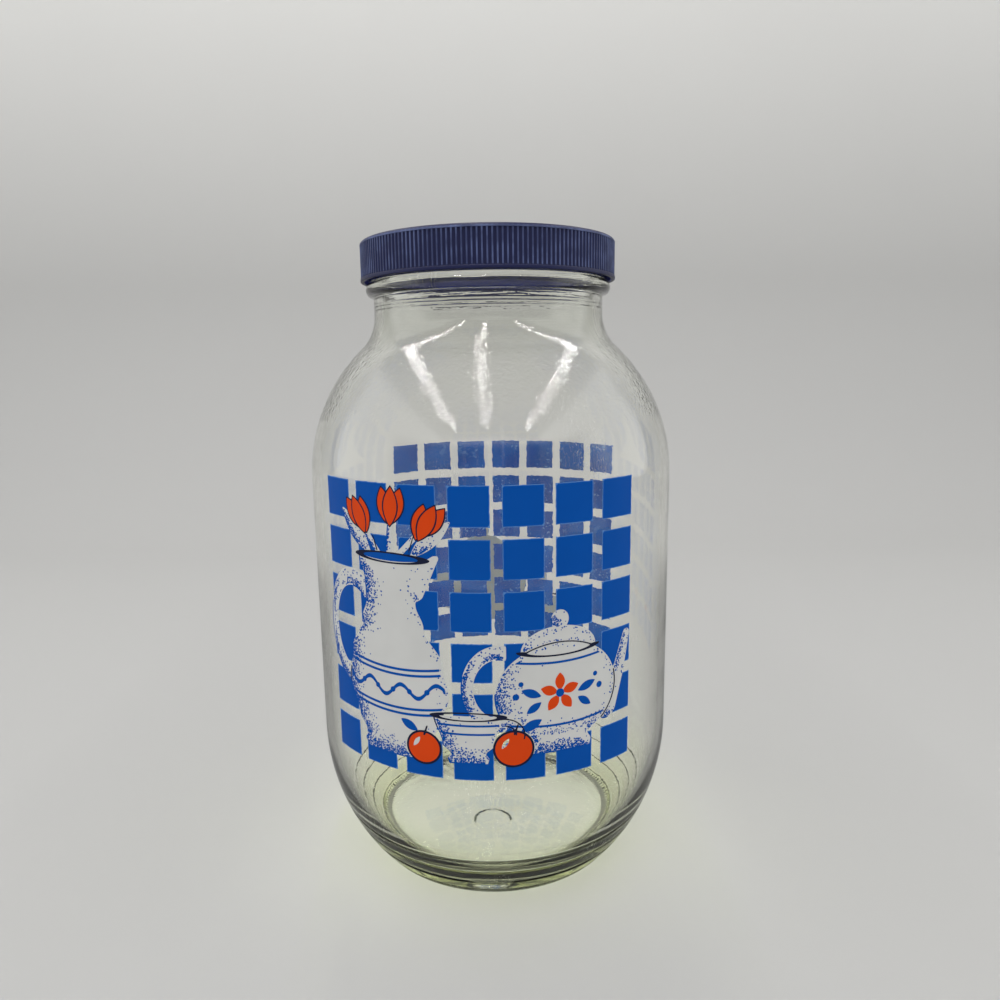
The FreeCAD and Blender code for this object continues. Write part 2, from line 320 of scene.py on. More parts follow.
# %% Outline of the glass
inner_radius = body_radius - side_wall
inner_arc = inner_radius - shoulder_centre[0]
bore_foot = wall_head + math.sqrt(inner_arc**2 - (bore_radius - shoulder_centre[0]) ** 2)
inner_heel_centre = arc_centre((floor_radius, floor_edge), (inner_radius, heel_rise))
under_dome = dome_centre((pushup_radius, 0), pushup_rise)
floor_dome = dome_centre((floor_radius, floor_edge), floor_middle - floor_edge)
bead_middle = bead_top - 2.8 * MM
bead_centre = arc_centre((finish_radius, bead_top), (bead_radius, bead_middle))

glass_outline = outline_of([
    # corner, centre of the arc that leads to it, round, distance between rows
    ((0, pushup_rise), None, 0, 0),
    ((pushup_radius, 0), under_dome, 1.0 * MM, 0.9 * MM),
    ((base_radius, 0), None, 2.0 * MM, 1 * MM),
    ((body_radius, heel_rise), heel_centre, 0, 0.55 * MM),
    ((body_radius, wall_head), None, 0, 6 * MM),
    ((neck_radius, neck_foot), shoulder_centre, 20.0 * MM, 2 * MM),
    ((neck_radius, bead_bottom - 7 * MM), None, 0, 1 * MM),
    ((neck_radius, bead_bottom), None, 0.8 * MM, 0.25 * MM),
    ((bead_radius, bead_bottom), None, 3.0 * MM, 0.5 * MM),
    ((bead_radius, bead_middle), None, 0, 0.3 * MM),
    ((finish_radius, bead_top), bead_centre, 0, 0.3 * MM),
    ((finish_radius, jar_height), None, 1.1 * MM, 0.5 * MM),
    ((bore_radius, jar_height), None, 1.1 * MM, 1 * MM),
    ((bore_radius, bore_foot), None, 23.0 * MM, 2 * MM),
    ((inner_radius, wall_head), shoulder_centre, 0, 2.5 * MM),
    ((inner_radius, heel_rise), None, 0, 4 * MM),
    ((floor_radius, floor_edge), inner_heel_centre, 9.0 * MM, 2 * MM),
    ((0, floor_middle), floor_dome, 0, 4 * MM),
])
print(f"glass outline: {len(glass_outline)} rows")

# %% Grooves, rings and thread of the glass
groove_heights = [(3.4 + 7.4 * i) * MM for i in range(4)]
groove_depth, groove_half = 0.7 * MM, 0.8 * MM
ring_heights = [bead_bottom - drop * MM for drop in (3.4, 4.7, 6.2)]
ring_depth, ring_half = 0.09 * MM, 0.45 * MM
thread_pitch, thread_depth, thread_half = 5.0 * MM, 1.0 * MM, 1.1 * MM
thread_foot, thread_turns, thread_taper = 262.5 * MM, 1.3, 0.06


def ridge(distance, half):
    """A smooth ridge of height 1 and half width half: (1 - (d / half)^2)^2, else 0."""
    return np.clip(1 - (distance / half) ** 2, 0, 1) ** 2


def thread_ridge(z, t, foot, pitch, turns, half):
    """A screw ridge whose middle climbs from foot by pitch for every turn, tapered at its ends."""
    height = 0
    for lap in range(math.ceil(turns)):
        along = t % (2 * math.pi) / (2 * math.pi) + lap
        taper = np.clip(np.minimum(along, turns - along) / thread_taper, 0, 1)
        height = np.maximum(height, taper * ridge(z - foot - pitch * along, half))
    return height


print("grooves of the heel at", [round(height / MM, 1) for height in groove_heights], "mm")

# %% Waves of the glass
wave_kinds, gentle = 14, 3
wall_wave, floor_wave = 0.05 * MM, 0.22 * MM


def slow_waves(t, z, seed):
    """A sum of cosines of k t + m z with random k, m and phase, between about -1 and 1."""
    rng = np.random.default_rng(seed)
    total = np.zeros_like(t)
    for _ in range(wave_kinds):
        k = rng.integers(2, 26)
        m = rng.uniform(-300, 300)
        total += np.cos(k * t + m * z + rng.uniform(0, 2 * math.pi)) * gentle / (gentle + k)
    return total / gentle


print("a slow wave at one point:", slow_waves(np.zeros(1), np.zeros(1), 11).round(3))

# %% The blown jar
glass_columns = 200
rim = int(np.argmax(glass_outline[:, 1]))
past_rim = rim + 12
mark_radius, mark_offset, mark_edge = 8.6 * MM, 20.0 * MM, 0.9 * MM


def reshape_glass(r, z, t):
    """Outside: grooves, rings, thread and the round mark of the base. Inside: slow waves."""
    row = np.arange(len(r))[:, None]
    inside = (row >= past_rim) & (z < bead_bottom) & (z > floor_edge + 6 * MM)
    outside = ~inside & (row < rim)
    for height in groove_heights:
        heel = outside & (r > base_radius - 1 * MM)
        r = r - heel * groove_depth * ridge(z - height, groove_half)
    for height in ring_heights:
        neck = outside & (np.abs(r - neck_radius) < 0.2 * MM)
        r = r - neck * ring_depth * ridge(z - height, ring_half)
    finish = outside & (z > bead_top)
    rise = thread_ridge(z, t, thread_foot, thread_pitch, thread_turns, thread_half)
    r = r + finish * thread_depth * rise
    r = r + inside * wall_wave * slow_waves(t, z, 11)
    puddle = (row > past_rim) & (z < floor_middle + 0.2 * MM)
    z = z + puddle * floor_wave * slow_waves(r * np.cos(t) * 90, r * np.sin(t), 12)
    gap = mark_radius - np.hypot(r * np.cos(t), r * np.sin(t) + mark_offset)
    hollow = outside & (r < pushup_radius - 2 * MM) & (z < pushup_rise + 1 * MM)
    flat = np.clip(gap / mark_edge + 0.5, 0, 1)
    z = z + hollow * flat * (pushup_rise - z)
    return r, z


jar = turned("glass_jar_blown", glass_outline, even_angles(glass_columns), reshape_glass)
outside = np.zeros(len(jar.data.vertices))
outside[: (rim - 1) * glass_columns] = 1.0
outside[-2] = 1.0
mark_points(jar, "outside", outside)
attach(jar, "root")
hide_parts("glass_jar")

# %% [markdown]
# ## The cap
#
# The cap is a shallow cup of plastic. Its ribs could be copies of one bar round a disc, but
# a mould draws them out of the wall itself, and so does the grid here: it has five columns
# to a rib, two on the crest, one at each foot and one in the valley. The ribs fade out under
# a plain rounded edge at the top and stand on a plain lip at the bottom. Inside there is a
# thread like that of the glass, half a pitch lower.

# %% Outline of the cap
rib_depth = 0.6 * MM
skirt_inside = finish_radius + 1.7 * MM
rib_root = skirt_inside + 1.0 * MM
cap_radius = rib_root + rib_depth
lip_radius = cap_radius + 0.2 * MM
lip_top = cap_bottom + 1.5 * MM
rib_top = cap_top - 1.9 * MM
cap_under = jar_height + 0.03 * MM

cap_outline = outline_of([
    ((0, cap_under), None, 0, 0),
    ((skirt_inside, cap_under), None, 0.5 * MM, 9 * MM),
    ((skirt_inside, cap_bottom), None, 0.3 * MM, 0.8 * MM),
    ((lip_radius, cap_bottom), None, 0.35 * MM, 0.6 * MM),
    ((lip_radius, lip_top), None, 0.3 * MM, 0.5 * MM),
    ((rib_root, lip_top), None, 0.25 * MM, 0.3 * MM),
    ((rib_root, rib_top), None, 0.0, 1.3 * MM),
    ((cap_radius, rib_top + 0.5 * MM), None, 0.0, 0.3 * MM),
    ((cap_radius, cap_top), None, 1.6 * MM, 0.4 * MM),
    ((0, cap_top), None, 0, 9 * MM),
])
print(f"cap outline: {len(cap_outline)} rows, {2 * cap_radius / MM:.1f} mm across the ribs")

# %% Ribs of the cap
rib_count, rib_crest, rib_foot, rib_share = 180, 0.5 * MM, 1.05 * MM, 0.97
rib_pitch = 2 * math.pi / rib_count
cap_thread = 0.9 * MM


def rib_angles():
    """Angles of the grid columns: crest and foot edges of every rib, and the valley."""
    across = np.array([-rib_foot, -rib_crest, rib_crest, rib_foot]) / 2 / cap_radius
    offsets = np.append(across, rib_pitch / 2)
    return (np.arange(rib_count)[:, None] * rib_pitch + offsets).ravel()


def reshape_cap(r, z, t):
    """Outside: ribs from lip to edge, r = root + depth on a crest. Inside: the thread."""
    from_rib = np.abs((t + rib_pitch / 2) % rib_pitch - rib_pitch / 2) * cap_radius
    crest = np.clip((rib_foot / 2 - from_rib) / (rib_foot - rib_crest) * 2, 0, 1)
    skirt = (r > rib_root - 0.1 * MM) & (z > lip_top - 0.05 * MM) & (z < rib_top + 1 * MM)
    r = np.where(skirt, np.maximum(r, rib_root + rib_depth * crest * rib_share), r)
    inner = np.abs(r - skirt_inside) < 0.01 * MM
    foot = thread_foot - thread_pitch / 2
    rise = thread_ridge(z, t, foot, thread_pitch, thread_turns, cap_thread)
    return r - inner * cap_thread * rise, z


cap = turned("screw_cap_moulded", cap_outline, rib_angles(), reshape_cap)
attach(cap, "root")
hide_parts("screw_cap")

# %% [markdown]
# ## The print
#
# The enamel is screen printed and fired: first a grid of blue tiles, then white shapes over
# it, then orange-red parts, then navy lines and a blue stipple that shades the white. Every
# layer is a thin film on the wall, a few hundredths of a millimetre above the layer below,
# and reaches into the glass behind it, as fired enamel does. A painted texture would be
# quicker, but film has an edge and a back of its own, and both show through the jar. A film
# is drawn flat, with s along the wall and z up, both in millimetres, and then bent round
# the wall by the angle s / radius.

# %% Films on the wall
wall_mm = body_radius / MM


def on_wall(flat, lift, middle):
    """Bend flat points (s, z) in millimetres round the wall, lift above it, about an angle."""
    angle = flat[:, 0] / wall_mm + middle
    radius = body_radius + lift * MM
    return np.stack(
        [radius * np.sin(angle), -radius * np.cos(angle), flat[:, 1] * MM], 1
    )


def film(name, flat, faces, lift, depth, middle):
    """A closed film from flat points and faces: its skin lies at lift, its back depth below."""
    piece = new_piece(name, on_wall(flat, lift, middle), faces, smooth=False)
    wall = piece.modifiers.new("thickness", "SOLIDIFY")
    wall.thickness = depth * MM
    wall.offset = -1
    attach(piece, "root")
    return piece


print("a point 10 mm along the wall:", on_wall(np.array([[10.0, 100.0]]), 0, 0).round(4)[0])

# %% Tiles
tile_rows, tile_columns, tile_points = 6, 7, 17
tile_height, tile_width, tile_rough = 15.45, 15.65, 0.05
gap_up, gap_along, panel_low = 4.55, 4.45, 65.5
panel_top = panel_low + tile_rows * tile_height + (tile_rows - 1) * gap_up
panel_half = (tile_columns * tile_width + (tile_columns - 1) * gap_along) / 2
tile_count = tile_rows * tile_columns
tile_u, tile_v = np.meshgrid(*[np.linspace(-1, 1, tile_points)] * 2, indexing="xy")
tile_edge = np.maximum(np.abs(tile_u), np.abs(tile_v)) > 0.999


def tiles(seed):
    """Flat points and quads of all tiles: each a small grid with a slightly rough border.

    In a tile, u and v run from -1 to 1. Points on the border are moved by a few hundredths
    of a millimetre, the same way as a screen mesh leaves its edge.
    """
    rng, n = np.random.default_rng(seed), tile_points
    i, j = np.meshgrid(np.arange(n - 1), np.arange(n - 1), indexing="ij")
    cell = np.stack([i * n + j, i * n + j + 1, (i + 1) * n + j + 1, (i + 1) * n + j], -1)
    row, column = np.divmod(np.arange(tile_count)[:, None, None], tile_columns)
    s = -panel_half + tile_width / 2 + column * (tile_width + gap_along)
    z = panel_low + tile_height / 2 + row * (tile_height + gap_up)
    rough = rng.normal(0, tile_rough, (tile_count, n, n, 2)) * tile_edge[..., None]
    flat = np.stack([s + tile_u * tile_width / 2, z + tile_v * tile_height / 2], -1) + rough
    faces = cell.reshape(-1, 4) + np.arange(tile_count)[:, None, None] * n * n
    return flat.reshape(-1, 2), faces.reshape(-1, 4)


print(f"panel {2 * panel_half:.1f} mm along the wall, z {panel_low} to {panel_top} mm")


# %% [markdown]
# ## Shapes as fields
#
# A printed shape is a field: a number at every point of the panel that is positive inside
# the shape and falls to zero at its edge, measured in about millimetres. A disc is its
# radius less the distance from its middle. The larger of two fields joins two shapes, and
# the smaller keeps what they share. Fields are formulas, so the same drawing can be asked
# for on a coarse grid for the areas, on a fine grid for the lines, and at loose points for
# the specks.


# %% Simple fields
def join(*fields):
    """The union of shapes: their largest field."""
    return np.maximum.reduce(fields)


def share(*fields):
    """What shapes have in common: their smallest field."""
    return np.minimum.reduce(fields)


class Paper:
    """Points (s, z) of the panel in millimetres, and the fields that can be drawn there.

    whole says whether the tall things of the picture are drawn, as they are in front.
    """

    def __init__(self, s, z, whole=True):
        self.s, self.z, self.whole = s, z, whole

    def moved(self, ds, dz):
        """The same paper read a little further along and up."""
        return Paper(self.s + ds, self.z + dz, self.whole)

    def disc(self, s, z, wide, high):
        """An ellipse: one less the scaled distance from its middle, times its radius."""
        reach = np.hypot((self.s - s) / wide, (self.z - z) / high)
        return (1 - reach) * min(wide, high)

    def ring(self, s, z, wide, high, half):
        """A band of half width half along an ellipse."""
        return half - np.abs(self.disc(s, z, wide, high))

    def bar(self, s1, z1, s2, z2, half, end_half=None):
        """A rounded bar from one point to another, tapering to end_half."""
        end_half = half if end_half is None else end_half
        ds, dz = s2 - s1, z2 - z1
        along = ((self.s - s1) * ds + (self.z - z1) * dz) / (ds**2 + dz**2)
        along = np.clip(along, 0, 1)
        gap = np.hypot(self.s - s1 - along * ds, self.z - z1 - along * dz)
        return half + (end_half - half) * along - gap

    def petal(self, s, z, high, wide, lean):
        """A pointed oval: half width wide * (1 - (v / high)^2) at v along its lean."""
        ds, dz = self.s - s, self.z - z
        u = ds * math.cos(lean) - dz * math.sin(lean)
        v = ds * math.sin(lean) + dz * math.cos(lean)
        return wide * (1 - (v / high) ** 2) - np.abs(u)

    def vessel(self, s, marks):
        """An upright pot: its half width at each marked height, eased between the marks."""
        heights, widths = np.array(marks, float).T
        place = np.interp(self.z, heights, np.arange(len(heights)))
        low = np.clip(place.astype(int), 0, len(heights) - 2)
        ease = (1 - np.cos((place - low) * math.pi)) / 2
        half = widths[low] * (1 - ease) + widths[low + 1] * ease
        ends = np.minimum(self.z - heights[0], heights[-1] - self.z)
        return np.minimum(half - np.abs(self.s - s), ends)

    def hoop(self, s, z, drop, half):
        """A painted line round a pot about s: it drops to the sides as a circle seen aslant."""
        return half - np.abs(self.z - z - drop * ((self.s - s) / 20) ** 2)


print("the field of a 3 mm disc at its middle:", Paper(0.0, 0.0).disc(0, 0, 3, 3))

# %% [markdown]
# ## The picture
#
# A tall pitcher of tulips stands on the left, a round teapot on the right, and a cup and
# fruit between them, over the lowest row of tiles. The back of the jar has only the teapot,
# the cup and the fruit, moved to the middle. Later white shapes cover earlier ones. Each is
# a formula rather than a traced curve, so it can be widened, shared or cut by another.

# %% White shapes, from back to front
pitcher_at, teapot_at, cup_at, nowhere = -33, 34, -2, -99
tall_parts = (
    "leaf left", "leaf right", "stem left", "stem middle", "stem right",
    "pitcher handle", "pitcher",
)


def white_shapes(p):
    """Fields of the white shapes in the order in which they cover each other."""
    pitcher = join(
        p.vessel(pitcher_at, [
            (72, 14), (75, 15.5), (78.5, 14.5), (85, 18.5), (99, 24), (112, 21.5),
            (126, 14.5), (135, 11.5), (143, 12), (150, 14.5), (153, 15.5),
        ]),
        share(p.bar(-23, 142, -13, 153.5, 6, 1.3), 154.5 - p.z),
    )
    teapot = join(
        p.disc(teapot_at, 99.5, 25.5, 20.5),
        p.vessel(teapot_at, [(75.5, 13), (78, 13.5), (81, 12), (86, 14)]),
    )
    lid = join(
        share(p.disc(teapot_at, 117, 15.5, 9.5), p.z - 116.5),
        p.disc(teapot_at, 129, 3.6, 3.8),
    )
    cup = p.vessel(cup_at, [(72.5, 7.5), (74.5, 8), (76.5, 6.8), (80, 10), (92, 13.5)])
    shapes = {
        "leaf left": p.petal(-49, 161, 12, 3.2, -0.75),
        "leaf right": p.petal(-15, 160.5, 11, 3.0, 0.85),
        "stem left": p.bar(-36, 152, -45, 164, 1.1),
        "stem middle": p.bar(-33, 152, -31, 168, 1.1),
        "stem right": p.bar(-30, 152, -19, 163, 1.1),
        "pitcher handle": share(p.ring(-53, 121, 14.5, 21, 2.5), -45 - p.s),
        "pitcher": pitcher,
        "spout": join(p.bar(55, 90, 61.5, 103, 5.5, 3.2), p.bar(61.5, 103, 66, 117.5, 3.2, 1.9)),
        "teapot handle": share(p.ring(10, 103, 12, 14.5, 2.3), 13 - p.s),
        "lid": lid,
        "teapot": teapot,
        "cup handle": share(p.ring(12, 84, 6.2, 5.4, 1.4), p.s - 9),
        "cup": cup,
    }
    if not p.whole:
        shapes.update({name: p.s * 0 + nowhere for name in tall_parts})
    return shapes


print("white shapes:", ", ".join(white_shapes(Paper(np.zeros(1), np.zeros(1)))))


# %% Colours over the white
bloom_places = ((-47, 168, -0.42), (-31, 172.5, 0.06), (-16, 167, 0.48))  # s, z, lean
fruit_places = ((15.5, 78.5, 7.6), (-20, 77.5, 7.0))  # s, z, radius
fruit_flat = 0.95


def blooms(p):
    """The places of the tulip heads, where the whole picture is drawn."""
    return bloom_places if p.whole else ()


def tulip(p, s, z, lean):
    """The three petals of a tulip head, the middle one last."""
    side = [p.petal(s + k * 2.7, z, 7.2, 3.3, lean + k * 0.22) for k in (-1, 1)]
    return side + [p.petal(s, z - 0.3, 7.8, 3.3, lean)]


def orange_shape(p):
    """Tulip heads, fruit with a bright spot left out, and a painted flower."""
    heads = [petal for place in blooms(p) for petal in tulip(p, *place)]
    fruit = [
        share(p.disc(s, z, r, r * fruit_flat), -p.petal(s - 0.42 * r, z + 0.3 * r, 2.6, 0.9, 0.6))
        for s, z, r in fruit_places
    ]
    turns = np.arange(5) * 2 * math.pi / 5
    flower = [
        p.petal(teapot_at + 4.6 * math.sin(a), 99.5 + 4.6 * math.cos(a), 3.6, 2.0, a)
        for a in turns
    ]
    return join(*heads, *fruit, *flower)


print(f"{len(bloom_places)} tulips and {len(fruit_places)} fruit")

# %% Thin dark lines
thin, fine = 0.30, 0.24


def navy_shape(p):
    """Thin dark lines: petals, fruit, rims, and edges where white lies over white."""
    white = white_shapes(p)
    lines = []
    for place in blooms(p):
        petals = tulip(p, *place)
        lines += [thin - np.abs(petals[2])]
        lines += [share(thin - np.abs(q), -petals[2]) for q in petals[:2]]
    for s, z, r in fruit_places:
        lines.append(thin + 0.12 - np.abs(p.disc(s, z, r, r * fruit_flat)))
        lines.append(p.bar(s + 0.4, z + r - 1.5, s + 1.6, z + r + 2.0, 0.45, 0.3))
    for name, under in (
        ("cup", white["pitcher"] + 0.4),
        ("cup handle", white["teapot"] + 0.4),
        ("teapot", join(white["lid"], white["spout"]) - 0.2),
        ("pitcher", white["pitcher handle"] - 0.2),
    ):
        lines.append(share(fine - np.abs(white[name]), under))
    lines += [
        share(p.ring(pitcher_at + 0.5, 152.4, 15, 1.9, thin), white["pitcher"] + 5),
        share(p.ring(cup_at, 91.6, 13.2, 1.6, fine), p.z - 80),
        share(p.ring(teapot_at, 117.2, 15.4, 2.4, thin), 117.4 - p.z),
    ]
    for s, z in ((-38, 164), (-24, 163)):
        vein = p.bar(s, z - 9, s + (s + 31) * 0.4, z - 1, 0.3, 0.15)
        lines.append(share(vein, join(*(white[part] for part in tall_parts)) + 1))
    return join(*lines)


print(f"thin lines are {2 * thin} and {2 * fine} mm wide")

# %% Shaded edges
slope_reach, contour_half, contour_slope, clear_of = 0.8, 0.26, 0.72, -0.3


def slopes(p):
    """How far each white shape grows towards the upper right: 1 on its lower left edge."""
    reach = slope_reach
    ahead, behind = white_shapes(p.moved(reach, reach)), white_shapes(p.moved(-reach, -reach))
    return {name: (ahead[name] - behind[name]) / (2 * reach) for name in ahead}


def contours(p):
    """Thin painted lines just inside the shaded edges of the shapes that are not covered."""
    white, slope = white_shapes(p), slopes(p)
    names = list(white)
    lines = []
    for i, name in enumerate(names):
        shaded = (slope[name] - contour_slope) * 2
        line = share(contour_half - np.abs(white[name] - 0.1), shaded)
        later = [white[other] for other in names[i + 1 :]]
        lines.append(share(line, clear_of - join(*later)) if later else line)
    return lines


print(f"contours are {2 * contour_half} mm wide")

# %% Painted blue
wave_middle, wave_height, wave_length, wave_bow = 99.4, 2.6, 2.4, 1.6


def blue_shape(p):
    """Painted blue: bands and a wave on the pitcher, bands and leaves on the teapot."""
    white = white_shapes(p)
    pot, tea, cup = white["pitcher"] - 1.2, white["teapot"] - 1.0, white["cup"] - 0.9
    bands = [share(p.hoop(pitcher_at, z, 1.6, 0.5), pot) for z in (90, 92.2, 106, 108.2)]
    along = p.s - pitcher_at
    wave = wave_middle + wave_height * np.sin(along / wave_length)
    wave = wave + wave_bow * (along / 20) ** 2
    bands.append(share(0.62 - np.abs(p.z - wave) * 0.72, pot))
    for along in (k * 7.54 for k in range(-3, 4)):
        z = wave_middle + wave_bow * (along / 20) ** 2
        bands.append(share(p.disc(pitcher_at + along, z, 1.1, 1.1), pot))
    bands += [share(p.hoop(teapot_at, z, 1.5, 0.45), tea) for z in (86.5, 112.0)]
    bands += [share(p.hoop(cup_at, z, 0.8, 0.4), cup) for z in (84.5, 88.0)]
    for k in (-1, 1):
        bands += [
            p.petal(teapot_at + k * 11.5, 100.5, 4.2, 1.7, k * 1.2),
            p.petal(teapot_at + k * 10.5, 94.5, 3.6, 1.5, k * 2.2),
            p.disc(teapot_at + k * 17.5, 99.5, 1.3, 1.3),
            p.disc(teapot_at + k * 15.5, 104.5, 1.0, 1.0),
        ]
    bands += [
        p.disc(teapot_at, 99.5, 1.7, 1.7),
        p.petal(22.5, 87.5, 4.6, 1.9, 1.1),
        p.petal(-26, 86, 4.2, 1.8, -1.1),
        share(p.disc(pitcher_at + 0.5, 152.6, 14.2, 1.4), white["pitcher"] + 5),
        share(join(*contours(p)), clear_of - orange_shape(p)),
    ]
    return join(*bands)


print(f"the wave of the pitcher rises {wave_height} mm")

# %% [markdown]
# ## From fields to films
#
# A film covers the points where its field is positive. A grid of squares would leave steps
# along a slanted edge, so each square is two triangles, and those that the edge crosses are
# cut along it. The films stay light where the shapes are large and sharp where they are fine.

# %% Grids over the panel
coarse_step, close_step, back_shift = 0.7, 0.36, 19.5


def panel_paper(step, whole):
    """A regular grid of points that covers the panel, moved along for the smaller picture."""
    s = np.arange(-panel_half - 2, panel_half + 2, step) + (0 if whole else back_shift)
    z = np.arange(panel_low - 2, panel_top + 4, step)
    return Paper(*np.meshgrid(s, z, indexing="xy"), whole)


print("grid of the fine films:", panel_paper(close_step, True).s.shape, "points")


# %% Cut a field to a mesh
def cut_mesh(paper, field):
    """Flat points and triangles of where a field is positive, cut at its zero line.

    Every cell of the grid is two triangles. One with all corners inside stays whole. One
    that the edge crosses is cut where a straight line through the values at its corners is
    zero, and neighbours share the point of the cut, so the film has no seams.
    """
    rows, columns = field.shape
    i, j = np.meshgrid(np.arange(rows - 1), np.arange(columns - 1), indexing="ij")
    a = (i * columns + j).ravel()
    b, c, d = a + 1, a + columns + 1, a + columns
    corners = np.concatenate([np.stack([a, b, c], 1), np.stack([a, c, d], 1)])
    value, spot = field.ravel(), np.stack([paper.s.ravel(), paper.z.ravel()], 1)
    inside = value[corners] > 0
    count = inside.sum(1)
    crossed = (count == 1) | (count == 2)
    whole, cut, kept = corners[count == 3], corners[crossed], inside[crossed]
    one_in = kept.sum(1) == 1
    odd = np.where(one_in, kept.argmax(1), (~kept).argmax(1))
    p, q, r = np.take_along_axis(cut, (odd[:, None] + np.arange(3)) % 3, 1).T
    keys = np.sort(np.concatenate([np.stack([p, q], 1), np.stack([p, r], 1)]), 1)
    pairs, index = np.unique(keys, axis=0, return_inverse=True)
    pq, pr = np.split(index.ravel() + len(spot), 2)
    v0, v1 = value[pairs[:, 0]], value[pairs[:, 1]]
    part = np.clip(v0 / (v0 - v1), 0.04, 0.96)[:, None]
    crossings = spot[pairs[:, 0]] * (1 - part) + spot[pairs[:, 1]] * part
    tips = np.stack([p, pq, pr], 1)[one_in]
    rests = np.concatenate([
        np.stack([pq, q, r], 1)[~one_in],
        np.stack([pq, r, pr], 1)[~one_in],
    ])
    used, faces = np.unique(np.concatenate([whole, tips, rests]), return_inverse=True)
    return np.concatenate([spot, crossings])[used], faces.reshape(-1, 3)


small = Paper(*np.meshgrid(np.arange(-4.0, 5.0), np.arange(-4.0, 5.0)))
print("triangles of a 3 mm disc on a 1 mm grid:", len(cut_mesh(small, small.disc(0, 0, 3, 3))[1]))

# %% Films of both pictures
def cut_films(whole):
    """The areas of one picture: whole in front, and only its low group on the back."""
    coarse, close = panel_paper(coarse_step, whole), panel_paper(close_step, whole)
    found = {
        "white": cut_mesh(coarse, join(*white_shapes(coarse).values())),
        "orange": cut_mesh(close, orange_shape(close)),
        "navy": cut_mesh(close, navy_shape(close)),
        "details": cut_mesh(close, blue_shape(close)),
    }
    for name, (points, faces) in found.items():
        points[:, 0] -= 0 if whole else back_shift
        print(f"{name}: {len(points)} points, {len(faces)} triangles, flat")
    return found


films = {"front": cut_films(True), "back": cut_films(False)}

# %% [markdown]
# ## Stipple
#
# The white is shaded by blue specks that crowd along the left and lower edges of each
# shape and thin out inwards. Specks are dropped at random and kept with a chance that
# falls with the depth inside the shape, and that is larger where the shape grows towards
# the upper right. Each one is a small uneven polygon, drawn as few faces as will do.

# %% Where specks fall
speck_clear, shade_depth, rim_depth, rim_share = 0.4, 3.2, 1.2, 0.16


def speck_chance(p):
    """How likely a speck is at each point, and 0 where no white shows."""
    slope = slopes(p)
    chance = np.zeros_like(p.s)
    for name, field in white_shapes(p).items():
        shaded = np.clip(slope[name] * 1.25, 0, 1)
        depth = np.clip(field, 0, None)
        inside = shaded * np.exp(-((depth / shade_depth) ** 1.5))
        inside = inside + rim_share * np.exp(-depth / rim_depth)
        chance = np.where(field > 0, np.where(field > speck_clear, inside, 0), chance)
    covered = join(orange_shape(p), navy_shape(p)) > -speck_clear
    return np.where(covered, 0, chance)


print("chance of a speck low on the cup:", speck_chance(Paper(np.array([-7.0]), np.array([82.0]))))

# %% Specks
speck_drops = 110000


def stipple(seed, whole, sides=5):
    """Flat points and polygons of specks: middle + size * (cos a, sin a) * unevenness."""
    rng = np.random.default_rng(seed)
    shift = 0 if whole else back_shift
    s = rng.uniform(-panel_half, panel_half, speck_drops)
    z = rng.uniform(panel_low, panel_top, speck_drops)
    keep = rng.uniform(size=speck_drops) < speck_chance(Paper(s + shift, z, whole))
    s, z = s[keep, None], z[keep, None]
    size = rng.uniform(0.2, 0.36, s.shape)
    stretch = rng.uniform(0.8, 1.5, s.shape)
    lean = rng.uniform(0, math.pi, s.shape)
    a = np.arange(sides) * 2 * math.pi / sides
    reach = size * rng.uniform(0.8, 1.2, (len(s), sides))
    u, v = reach * np.cos(a) * stretch, reach * np.sin(a)
    flat = np.stack(
        [s + u * np.cos(lean) - v * np.sin(lean), z + u * np.sin(lean) + v * np.cos(lean)], -1
    )
    print(f"stipple: {len(s)} specks")
    return flat.reshape(-1, 2), np.arange(len(s) * sides).reshape(-1, sides)


# %% Both panels
for side, whole, seed in (("front", True, 5), ("back", False, 6)):
    films[side]["stipple"] = stipple(seed, whole)
    films[side]["tiles"] = tiles(seed - 2)
layers = (
    # film, ink, and in millimetres the height of its skin above the glass and its thickness
    ("tiles", "blue", 0.04, 0.16),
    ("white", "white", 0.07, 0.15),
    ("orange", "orange", 0.10, 0.15),
    ("details", "blue", 0.115, 0.15),
    ("stipple", "blue", 0.12, 0.06),
    ("navy", "navy", 0.13, 0.15),
)
prints = []
for side, middle in (("front", 0.0), ("back", math.pi)):
    for name, ink, lift, depth in layers:
        piece = film(f"print_{name}_{side}", *films[side][name], lift, depth, middle)
        prints.append((piece, ink))
        if name == "tiles":
            mark_points(piece, "border", np.tile(tile_edge.ravel(), tile_count))

# %% [markdown]
# ## Shader maths
#
# A material is a graph of nodes. Written as Python, one class stands for the output of a
# node, and + - * between outputs and numbers add Math nodes, so a mask reads like the
# formula it is. Every other node comes from the method node, which takes its type, its
# settings and its inputs.


